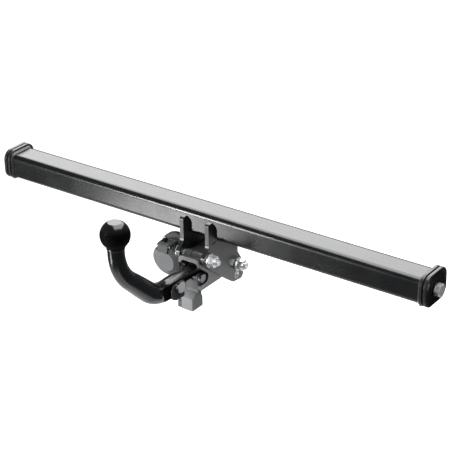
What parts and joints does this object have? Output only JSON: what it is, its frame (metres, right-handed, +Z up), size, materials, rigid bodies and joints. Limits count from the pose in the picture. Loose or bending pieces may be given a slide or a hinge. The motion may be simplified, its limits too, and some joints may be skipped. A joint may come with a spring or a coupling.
{
  "type": "trailer hitch",
  "caption": "Detachable trailer hitch: black cross beam with end plates, bolted side plates and coupling housing, swan-neck tow ball with lock and release lever, and a covered trailer socket.",
  "frame": {"origin": "middle of the cross beam's section, on the mid plane between the two side plates", "axes": "+X along the cross beam, -Y towards the tow ball (rearwards on the vehicle), +Z up"},
  "size_m": [0.915, 0.3324, 0.2437],
  "materials": {
    "beam_paint": "satin black powder coat",
    "weld_paint": "painted weld",
    "plate_paint": "satin black powder coat",
    "pad_rubber": "matt",
    "zinc": "bright zinc",
    "housing_paint": "satin black",
    "steel": "plain steel",
    "neck_paint": "gloss black",
    "pin_steel": "dark plated steel",
    "grey_plastic": "mid grey plastic",
    "spring_steel": "spring steel",
    "lock_metal": "plated brass",
    "cover_plastic": "dark grey plastic",
    "bracket_paint": "black",
    "rubber_black": "matt rubber",
    "socket_plastic": "dark grey plastic",
    "insert_plastic": "black plastic",
    "contact_brass": "bright",
    "lid_plastic": "grey plastic"
  },
  "bodies": {
    "towbar": {"cross_beam": "beam_paint", "end_welds": "weld_paint", "end_flange_right": "plate_paint", "end_flange_left": "plate_paint", "clamp_plate_right": "plate_paint", "clamp_plate_left": "plate_paint", "end_pads": "pad_rubber", "end_bolts": "zinc", "end_washers": "zinc", "end_weld_nuts": "zinc", "side_plate_right": "plate_paint", "side_plate_left": "plate_paint", "plate_welds": "weld_paint", "coupling_housing": "housing_paint", "support_shaft": "steel", "catch_plate": "housing_paint", "bolt_sleeves": "housing_paint", "housing_bolts": "zinc", "housing_nuts": "zinc", "housing_washers": "zinc", "socket_bracket": "bracket_paint", "bracket_welds": "weld_paint", "socket_gasket": "rubber_black", "socket_body": "socket_plastic", "contact_insert": "insert_plastic", "contact_sleeves": "contact_brass", "lid_hinge_pin": "steel", "lid_spring": "spring_steel", "socket_screws": "zinc", "socket_nuts": "zinc", "socket_boot": "rubber_black", "cable_gland": "insert_plastic"},
    "neck": {"swan_neck": "neck_paint", "cross_pin": "pin_steel", "pin_bush": "pin_steel", "lock_cylinder": "lock_metal", "lock_cover": "cover_plastic", "lock_cap_pin": "steel", "locking_spring": "spring_steel"},
    "lever": {"lever_handle": "grey_plastic"},
    "locking_bolt": {"locking_bolt": "steel"},
    "lock_plug": {"lock_plug": "lock_metal"},
    "lock_cap": {"lock_cap": "grey_plastic"},
    "socket_lid": {"socket_lid": "lid_plastic", "lid_seal": "rubber_black"}
  },
  "joints": [
    {"name": "neck_release", "type": "slide", "parent": "towbar", "child": "neck", "axis": [0, -1, 0], "range_m": [0, 0.09]},
    {"name": "lever_swing", "type": "hinge", "parent": "neck", "child": "lever", "pos_m": [0, -0.0552, -0.08375], "axis": [1, 0, 0], "range_deg": [-35, 0], "stiffness_Nm_per_rad": 0.08, "springref_deg": 17.19},
    {"name": "locking_bolt_slide", "type": "slide", "parent": "neck", "child": "locking_bolt", "axis": [0, 1, 0], "range_m": [-0.0071, 0], "deforming": ["locking_spring"]},
    {"name": "lock_turn", "type": "hinge", "parent": "neck", "child": "lock_plug", "pos_m": [0.0125, -0.1103, -0.0773], "axis": [1, 0, 0], "range_deg": [0, 90]},
    {"name": "lock_cap_swing", "type": "hinge", "parent": "neck", "child": "lock_cap", "pos_m": [0.0159, -0.1248, -0.0715], "axis": [0, 0, 1], "range_deg": [-100, 0]},
    {"name": "socket_lid_swing", "type": "hinge", "parent": "towbar", "child": "socket_lid", "pos_m": [-0.066, -0.05014, -0.0479], "axis": [1, 0, 0], "range_deg": [-100, 0], "stiffness_Nm_per_rad": 0.12, "springref_deg": 20.05}
  ],
  "couplings": [
    {"joint": "locking_bolt_slide", "follows": "lever_swing", "m_per_rad": 0.011459}
  ]
}
